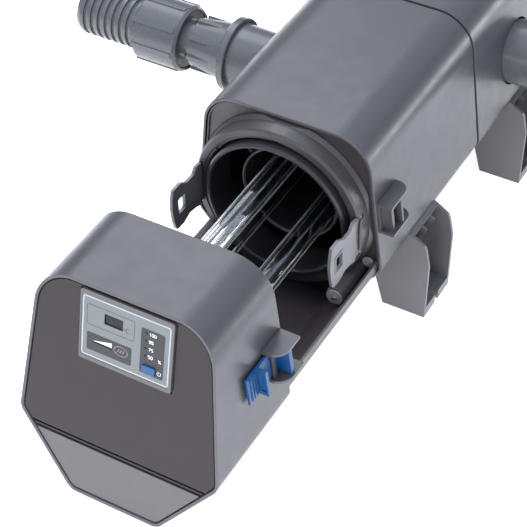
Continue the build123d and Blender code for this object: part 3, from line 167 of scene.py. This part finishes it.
def bevel_and_highlight_mask(tree, radius):
    """How far the rounded normal turns from the true one: high along edges. This serves as the mask of the painted
    edge highlight.
    """
    bevel = add(tree, "ShaderNodeBevel", samples=4)
    bevel.inputs["Radius"].default_value = radius
    geometry = add(tree, "ShaderNodeNewGeometry")
    dot = add(tree, "ShaderNodeVectorMath", operation="DOT_PRODUCT")
    tree.links.new(bevel.outputs["Normal"], dot.inputs[0])
    tree.links.new(geometry.outputs["Normal"], dot.inputs[1])
    return bevel.outputs["Normal"], spread(tree, dot.outputs["Value"], 1.0, 0.0, 0.90, 0.995)


def plastic(name, colour, rough, grain=1400.0, grain_depth=0.00003, edge=0.0007, edge_highlight_gain=1.35, gloss=0.5):
    """Moulded plastic: fine spark texture, cloudy tone, soft rounded edges that catch the light, their colour
    lightened as a painted highlight.
    """
    mat, tree, shader = new_material(name)
    normal, edge_highlight_mask = bevel_and_highlight_mask(tree, edge)
    cloudy = mix_colours(tree, spread(tree, noise(tree, 14, 4), 0, 1), tint(colour, 0.97), tint(colour, 1.03))
    speck = mix_colours(tree, spread(tree, noise(tree, grain, 2), 0.0, 0.22), cloudy, tint(colour, 1.7))
    # Colour lightened along the edges by the edge factor: painted highlight.
    highlighted_colour = mix_colours(tree, spread(tree, edge_highlight_mask, 0.0, 0.55, 0.0, 1.0), speck, tint(colour, edge_highlight_gain))
    tree.links.new(highlighted_colour, shader.inputs["Base Color"])
    tree.links.new(spread(tree, noise(tree, 60, 5), rough - 0.04, rough + 0.05), shader.inputs["Roughness"])
    bump = add(tree, "ShaderNodeBump", Strength=0.6, Distance=grain_depth)
    tree.links.new(noise(tree, grain, 2), bump.inputs["Height"])
    tree.links.new(normal, bump.inputs["Normal"])
    tree.links.new(bump.outputs["Normal"], shader.inputs["Normal"])
    shader.inputs["Specular IOR Level"].default_value = gloss
    return mat


def ink(name, colour):
    """Screen-printed ink: matte, with hardly any grain."""
    return plastic(name, colour, 0.45, grain=1800, grain_depth=0.000005, edge=0.0002, gloss=0.25)


def steel(name):
    """Turned stainless steel with fine rings of tool marks."""
    mat, tree, shader = new_material(name)
    normal, edge_highlight_mask = bevel_and_highlight_mask(tree, 0.0002)
    streak = noise(tree, 2600, 2)
    colour = mix_colours(tree, spread(tree, streak, 0, 1), tint(STEEL, 0.8), tint(STEEL, 1.15))
    tree.links.new(colour, shader.inputs["Base Color"])
    tree.links.new(spread(tree, streak, 0.22, 0.38), shader.inputs["Roughness"])
    tree.links.new(normal, shader.inputs["Normal"])
    shader.inputs["Metallic"].default_value = 1.0
    return mat


def glass_edge_highlight(tree, glass, start):
    """Lay a pale white coat over glass where it turns away from the eye: a painted highlight standing in for the
    bright edges that thick tube walls show.
    """
    facing = add(tree, "ShaderNodeLayerWeight", Blend=0.5)
    highlight_coat = add(tree, "ShaderNodeBsdfPrincipled", Roughness=0.25)
    highlight_coat.inputs["Base Color"].default_value = GLASS_HIGHLIGHT_WHITE
    glint_mask = spread(tree, facing.outputs["Facing"], 0.0, 0.75, start, 0.97)
    both = add(tree, "ShaderNodeMixShader")
    tree.links.new(glint_mask, both.inputs["Fac"])
    tree.links.new(glass, both.inputs[1])
    tree.links.new(highlight_coat.outputs[0], both.inputs[2])
    return both.outputs[0]


def quartz(name):
    """Clear fused quartz with faint drawing lines along the tube."""
    mat, tree, shader = new_material(name)
    shader.inputs["Base Color"].default_value = (0.96, 0.975, 0.98, 1)
    shader.inputs["Transmission Weight"].default_value = 1.0
    shader.inputs["IOR"].default_value = 1.46
    tree.links.new(spread(tree, noise(tree, 40, 3), 0.0, 0.012), shader.inputs["Roughness"])
    place = add(tree, "ShaderNodeTexCoord")
    stretch = add(tree, "ShaderNodeMapping")
    stretch.inputs["Scale"].default_value = (420, 3, 420)
    lines = add(tree, "ShaderNodeTexNoise", Scale=1.0, Detail=1.0)
    tree.links.new(place.outputs["Object"], stretch.inputs["Vector"])
    tree.links.new(stretch.outputs["Vector"], lines.inputs["Vector"])
    bump = add(tree, "ShaderNodeBump", Strength=0.25, Distance=0.00005)
    tree.links.new(lines.outputs["Fac"], bump.inputs["Height"])
    tree.links.new(bump.outputs["Normal"], shader.inputs["Normal"])
    # Pale coat along the tube edges: painted highlight.
    surface = glass_edge_highlight(tree, shader.outputs[0], 0.6)
    tree.links.new(surface, tree.nodes["Material Output"].inputs["Surface"])
    return mat


def lamp_glass(name, base_end):
    """Clear lamp tubes that turn into a white ceramic base in front of base_end."""
    mat, tree, shader = new_material(name)
    colour = mix_colours(tree, spread(tree, noise(tree, 30, 4), 0, 1), (0.90, 0.92, 0.93, 1), (0.97, 0.98, 0.98, 1))
    tree.links.new(colour, shader.inputs["Base Color"])
    shader.inputs["Roughness"].default_value = 0.02
    shader.inputs["Transmission Weight"].default_value = 1.0
    shader.inputs["IOR"].default_value = 1.15
    base = add(tree, "ShaderNodeBsdfPrincipled", Roughness=0.5)
    clay = mix_colours(tree, noise(tree, 600, 3), tint(BASE_WHITE, 0.92), tint(BASE_WHITE, 1.05))
    tree.links.new(clay, base.inputs["Base Color"])
    place = add(tree, "ShaderNodeTexCoord")
    split = add(tree, "ShaderNodeSeparateXYZ")
    tree.links.new(place.outputs["Object"], split.inputs["Vector"])
    on_base = add(tree, "ShaderNodeMath", operation="LESS_THAN")
    tree.links.new(split.outputs["Y"], on_base.inputs[0])
    on_base.inputs[1].default_value = base_end
    both = add(tree, "ShaderNodeMixShader")
    tree.links.new(on_base.outputs[0], both.inputs["Fac"])
    # Pale coat along the lamp tube edges: painted highlight.
    tree.links.new(glass_edge_highlight(tree, shader.outputs[0], 0.45), both.inputs[1])
    tree.links.new(base.outputs[0], both.inputs[2])
    tree.links.new(both.outputs[0], tree.nodes["Material Output"].inputs["Surface"])
    return mat


def tinted_window(name):
    mat, tree, shader = new_material(name)
    colour = mix_colours(tree, spread(tree, noise(tree, 90, 2), 0, 1), (0.004, 0.003, 0.004, 1), (0.014, 0.011, 0.012, 1))
    tree.links.new(colour, shader.inputs["Base Color"])
    shader.inputs["Roughness"].default_value = 0.12
    shader.inputs["Specular IOR Level"].default_value = 0.25
    return mat


MATERIALS = {
    # Each plastic's edge factor lightens its colour along the edges: a painted highlight.
    "housing": plastic("housing", HOUSING, 0.33, grain=2600, grain_depth=0.000012),
    "foot": plastic("foot", FOOT, 0.34, grain=2600, grain_depth=0.000012),
    "cover": plastic("cover", COVER, 0.42, gloss=0.3),
    "lower": plastic("lower_cover", LOWER, 0.40),
    "internal": plastic("internal", INTERNAL, 0.38, grain=900, grain_depth=0.00002),
    "bezel": plastic("bezel", BEZEL, 0.40, edge=0.0005),
    "rail": plastic("rail", RAIL, 0.36, grain=900, grain_depth=0.00002),
    "ring": plastic("ring", RING, 0.34, grain=900, grain_depth=0.00002, edge_highlight_gain=1.8),
    # Flow tube: a strong painted highlight on its rim.
    "tube": plastic("tube", TUBE, 0.22, grain=900, grain_depth=0.00001, edge=0.0016, edge_highlight_gain=20.0),
    "pin": plastic("pin", PIN, 0.38, grain=900, grain_depth=0.00002, edge=0.0005, edge_highlight_gain=1.6),
    "led": plastic("led", LED_DARK, 0.30, grain=900, grain_depth=0.00001, gloss=0.25),
    "fitting": plastic("fitting", FITTING, 0.26, grain=700, grain_depth=0.00001, edge=0.0006),
    "ear": plastic("ear", EAR, 0.33, grain=900, grain_depth=0.00002, edge=0.0005, edge_highlight_gain=1.8),
    "rubber": plastic("rubber", RUBBER, 0.62, grain=1200, grain_depth=0.00003),
    "steel": steel("stainless"),
    "quartz": quartz("quartz"),
    "lamp": lamp_glass("lamp_glass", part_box("uv_lamps")[0].y + LAMP_BASE_LENGTH),
    "blue": plastic("blue_plastic", BLUE, 0.30, grain=1100, grain_depth=0.00001, edge=0.0005, edge_highlight_gain=2.6, gloss=0.35),
    "membrane": plastic("membrane", MEMBRANE, 0.42, grain=1800, grain_depth=0.00001, edge=0.0003, gloss=0.35),
    "window": tinted_window("display_window"),
    "board": plastic("board", BOARD_GREEN, 0.35, grain=500, grain_depth=0.00001, edge=0.0002),
    "print_dark": ink("print_dark", PRINT_DARK),
    "print_line": ink("print_line", PRINT_LINE),
    "print_grey": ink("print_grey", PRINT_GREY),
    "print_border": ink("print_border", PRINT_BORDER),
    "print_light": ink("print_light", PRINT_LIGHT),
}

LOOK = {
    "housing": ["front_shell", "rear_shell", "head_shell", "latch_bracket", "catch"],
    "foot": ["feet"],
    "cover": ["front_cover"],
    "bezel": ["panel_bezel"],
    "lower": ["lower_cover"],
    "internal": [
        "vessel", "vessel_saddles", "front_plate", "bulkhead",
        "gland_nuts", "lamp_sockets", "board_posts", "cable_gland",
    ],
    "ring": ["clamp_ring"],
    "tube": ["flow_tube"],
    "rail": ["guide_rail", "guide_pins"],
    "pin": ["guide_pin_washers", "plate_screws"],
    "led": ["indicator_leds"],
    "ear": ["ear_left", "ear_right"],
    "fitting": [f"{s}_{n}" for s in ("left", "right") for n in ("port", "union_body", "union_nut", "hose_tail")],
    "rubber": [
        "seam_gasket", "spigot_seal", "sleeve_seals", "left_union_gasket", "right_union_gasket",
        "mains_cable", "mains_plug",
    ],
    "steel": [
        "ear_pins", "guide_pin_screws", "foot_screws", "bulkhead_screws", "rail_screws",
    ],
    "quartz": ["quartz_sleeves"],
    "lamp": ["uv_lamps"],
    "blue": ["latch_slide", "power_button"],
    "membrane": ["panel_membrane"],
    "window": ["display_window"],
    "board": ["control_board", "display_module", "button_switch", "ballasts"],
}


def dress(node, material):
    mesh = NODES[node].data
    mesh.materials.clear()
    mesh.materials.append(material)


def dress_all():
    for look, nodes in LOOK.items():
        for node in nodes:
            dress(node, MATERIALS[look])


# ================================================================= print on the panel
GLYPHS = {
    "0": [(True, [(0, 0.2), (0.2, 0), (0.4, 0), (0.6, 0.2), (0.6, 0.8), (0.4, 1), (0.2, 1), (0, 0.8)])],
    "1": [(False, [(0.1, 0.75), (0.35, 1), (0.35, 0)])],
    "5": [(False, [(0.6, 1), (0, 1), (0, 0.58), (0.4, 0.6), (0.6, 0.42), (0.6, 0.15), (0.4, 0), (0, 0)])],
    "7": [(False, [(0, 1), (0.6, 1), (0.2, 0)])],
    "9": [
        (False, [(0.05, 0), (0.4, 0), (0.6, 0.25), (0.6, 0.8), (0.4, 1), (0.2, 1), (0, 0.85), (0, 0.6), (0.2, 0.42),
                 (0.5, 0.45)]),
    ],
    "C": [(False, [(0.6, 0.85), (0.42, 1), (0.18, 1), (0, 0.8), (0, 0.2), (0.18, 0), (0.42, 0), (0.6, 0.15)])],
    "%": [
        (False, [(0.05, 0), (0.75, 1)]),
        (True, [(0, 0.68), (0.22, 0.68), (0.22, 0.95), (0, 0.95)]),
        (True, [(0.58, 0.05), (0.8, 0.05), (0.8, 0.32), (0.58, 0.32)]),
    ],
}


def panel_matrix():
    """From panel millimetres (across, up the face, out of it) to the world, at the membrane's outer face."""
    low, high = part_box("panel_membrane")
    scale = 1 / math.hypot(1, FRONT_LEAN)
    across = Vector((1, 0, 0))
    up = Vector((0, FRONT_LEAN, 1)) * scale
    out = Vector((0, -1, FRONT_LEAN)) * scale
    origin = (Vector(low) + Vector(high)) / 2 + out * MEMBRANE_HALF_THICK * MM
    turn = Matrix((across, up, out)).transposed().to_4x4()
    return Matrix.Translation(origin) @ turn @ Matrix.Scale(MM, 4)


def rounded_loop(u, v, width, height, radius, steps=6):
    """Corner-rounded rectangle, anticlockwise."""
    loop = []
    for corner in range(4):
        centre_u = u + (width / 2 - radius) * (1 if corner in (0, 3) else -1)
        centre_v = v + (height / 2 - radius) * (1 if corner in (0, 1) else -1)
        for step in range(steps + 1):
            angle = math.pi / 2 * (corner + step / steps)
            loop.append((centre_u + radius * math.cos(angle), centre_v + radius * math.sin(angle)))
    return loop


def oval_loop(u, v, half_width, half_height, steps=32):
    angles = [2 * math.pi * i / steps for i in range(steps)]
    return [(u + half_width * math.cos(a), v + half_height * math.sin(a)) for a in angles]


def shifted(points, distance, closed):
    """Points moved sideways with mitred corners; positive is to the left of the direction of travel."""
    moved = []
    count = len(points)
    for i, point in enumerate(points):
        before = points[i - 1] if closed or i else None
        after = points[(i + 1) % count] if closed or i < count - 1 else None
        sides = []
        for a, b in ((before, point), (point, after)):
            if a is not None and b is not None:
                step = (Vector(b) - Vector(a)).normalized()
                sides.append(Vector((-step.y, step.x)))
        normal = sum(sides, Vector((0, 0))).normalized()
        stretch = max(0.5, normal.dot(sides[0]))
        moved.append(tuple(Vector(point) + normal * distance / stretch))
    return moved


def ribbon(points, width, closed):
    """Loops that bound a stroke along a line of points: outline first, then its hole."""
    left = shifted(points, width / 2, closed)
    right = shifted(points, -width / 2, closed)
    return [right, left] if closed else [left + right[::-1]]


def glyph(character, u, v, height):
    shapes = []
    for closed, points in GLYPHS[character]:
        placed = [(u + x * height, v + y * height) for x, y in points]
        shapes.append(ribbon(placed, STROKE, closed))
    return shapes


def print_piece(name, shapes, material, low=PRINT_LOW, high=PRINT_HIGH):
    """A layer of ink: each shape is an outline with holes, drawn on the panel and given a thickness."""
    mesh = bpy.data.meshes.new(name)
    bm = bmesh.new()
    for loops in shapes:
        edges = []
        for loop in loops:
            verts = [bm.verts.new((u, v, low)) for u, v in loop]
            edges += [bm.edges.new((verts[i - 1], verts[i])) for i in range(len(verts))]
        filled = bmesh.ops.triangle_fill(bm, edges=edges, use_beauty=True)["geom"]
        faces = [g for g in filled if isinstance(g, bmesh.types.BMFace)]
        lifted = bmesh.ops.extrude_face_region(bm, geom=faces)["geom"]
        top = [g for g in lifted if isinstance(g, bmesh.types.BMVert)]
        bmesh.ops.translate(bm, verts=top, vec=(0, 0, high - low))
    bmesh.ops.recalc_face_normals(bm, faces=bm.faces)
    bm.transform(panel_matrix())
    bm.to_mesh(mesh)
    bm.free()
    mesh.materials.append(MATERIALS[material])
    piece = bpy.data.objects.new(name, mesh)
    bpy.context.scene.collection.objects.link(piece)
    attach(piece, "head")
    return piece


def indicator_places():
    return [(INDICATOR_U, INDICATOR_TOP_V - i * INDICATOR_PITCH) for i in range(len(NUMERALS))]


def panel_print():
    """Dark fields, the frame round the display, and light marks on top of the fields."""
    indicator_holes = [oval_loop(u, v, INDICATOR_HOLE, INDICATOR_HOLE) for u, v in indicator_places()]
    lamp_field = [rounded_loop(*LAMP_FRAME), rounded_loop(*BUTTON)] + indicator_holes
    slot_field = [rounded_loop(*SLOT_FRAME), rounded_loop(*CARD_SLOT)]
    print_piece("print_fields", [lamp_field, slot_field], "print_dark")
    lines = [ribbon(rounded_loop(*DISPLAY_FRAME), 0.5, True)]
    lines += glyph("C", *UNIT_AT, UNIT_HEIGHT)
    lines.append(ribbon(oval_loop(*DEGREE_AT, 0.8, 0.8, 16), 0.4, True))
    print_piece("print_lines", lines, "print_line")
    u, v, half_width, half_height = BADGE
    badge = [ribbon(oval_loop(u, v, half_width, half_height), 0.5, True)]
    for step in (-1, 0, 1):
        bar = [(u + step * 2.6 - 0.8, v - 1.6), (u + step * 2.6 + 0.8, v + 1.6)]
        badge.append(ribbon(bar, 0.7, False))
    print_piece("print_badge", badge, "print_grey", PRINT_HIGH, PRINT_TOP)
    print_piece("print_border", [ribbon(rounded_loop(*BORDER), BORDER_WIDTH, True)], "print_border")
    marks = [[WEDGE]]
    for text, (_, place_v) in zip(NUMERALS, indicator_places()):
        for index, character in enumerate(text):
            left = NUMERAL_U + index * NUMERAL_HEIGHT * 0.85
            marks += glyph(character, left, place_v - NUMERAL_HEIGHT / 2, NUMERAL_HEIGHT)
    marks += glyph("%", *PERCENT_AT, NUMERAL_HEIGHT)
    marks += power_mark()
    print_piece("print_marks", marks, "print_light", PRINT_HIGH, PRINT_TOP)


def power_mark():
    """Open ring with an upright bar through its gap."""
    u, v = POWER_AT
    arc = []
    for step in range(17):
        angle = math.radians(125 + 290 * step / 16)
        arc.append((u + POWER_RADIUS * math.cos(angle), v + POWER_RADIUS * math.sin(angle)))
    return [ribbon(arc, 0.5, False), ribbon([(u, v), (u, v + POWER_RADIUS)], 0.5, False)]


# ================================================================= stage
def camera():
    azimuth, elevation = math.radians(CAMERA_AZIMUTH), math.radians(CAMERA_ELEVATION)
    forward = Vector((-math.sin(azimuth) * math.cos(elevation), math.cos(azimuth) * math.cos(elevation), -math.sin(elevation)))
    level = forward.to_track_quat("-Z", "Y").to_matrix().to_4x4()
    data = bpy.data.cameras.new("camera")
    data.lens = CAMERA_LENS
    data.sensor_width = SENSOR
    data.clip_start = 0.05
    obj = bpy.data.objects.new("camera", data)
    place = Matrix.Translation(CAMERA_AIM - CAMERA_DISTANCE * forward)
    obj.matrix_world = place @ level @ Matrix.Rotation(math.radians(-CAMERA_ROLL), 4, "Z")
    bpy.context.scene.collection.objects.link(obj)
    bpy.context.scene.camera = obj


def area_light(name, place, aim, size, power, colour=(1, 1, 1)):
    data = bpy.data.lights.new(name, "AREA")
    data.shape = "RECTANGLE"
    data.size, data.size_y = size
    data.energy = power
    data.color = colour
    obj = bpy.data.objects.new(name, data)
    obj.location = place
    obj.rotation_euler = (Vector(aim) - Vector(place)).to_track_quat("-Z", "Y").to_euler()
    bpy.context.scene.collection.objects.link(obj)
    return obj


def stage():
    mesh = bpy.data.meshes.new("floor")
    span = 6.0
    corners = [(-span, -span, 0), (span, -span, 0), (span, span, 0), (-span, span, 0)]
    mesh.from_pydata(corners, [], [(0, 1, 2, 3)])
    floor = bpy.data.objects.new("floor", mesh)
    bpy.context.scene.collection.objects.link(floor)
    mat, tree, shader = new_material("floor")
    tone = mix_colours(tree, noise(tree, 3, 2), (0.86, 0.86, 0.86, 1), (0.90, 0.90, 0.90, 1))
    tree.links.new(tone, shader.inputs["Base Color"])
    shader.inputs["Roughness"].default_value = 0.9
    shader.inputs["Emission Color"].default_value = (1.0, 1.0, 1.0, 1.0)
    shader.inputs["Emission Strength"].default_value = FLOOR_GLOW
    mesh.materials.append(mat)
    studio_sky()
    bpy.context.scene.view_settings.view_transform = "Standard"
    middle = (0, 0, 0.15)
    overhead = area_light("overhead", (-0.4, 0.0, 2.2), middle, (2.0, 2.2), 54)
    overhead.visible_glossy = False
    area_light("back_left", (-0.9, 0.95, 1.75), middle, (1.1, 1.1), 11)
    area_light("back_right", (1.9, 1.75, 0.09), middle, (1.3, 0.16), 13)
    area_light("right_side", (1.3, -1.1, 0.25), middle, (0.6, 0.3), 2.5)
    area_light("front", (0.2, -2.2, 0.6), middle, (1.4, 0.6), 34)


def studio_sky():
    """Room that is dark near the horizon and a soft, slightly blue box overhead."""
    world = bpy.data.worlds.new("studio")
    world.use_nodes = True
    tree = world.node_tree
    place = add(tree, "ShaderNodeTexCoord")
    split = add(tree, "ShaderNodeSeparateXYZ")
    tree.links.new(place.outputs["Generated"], split.inputs["Vector"])
    height = spread(tree, split.outputs["Z"], SKY_LOW, SKY_HIGH, 0.42, 0.72)
    tree.links.new(height, tree.nodes["Background"].inputs["Strength"])
    tree.nodes["Background"].inputs["Color"].default_value = SKY_COLOUR
    bpy.context.scene.world = world


dress_all()
panel_print()
camera()
stage()
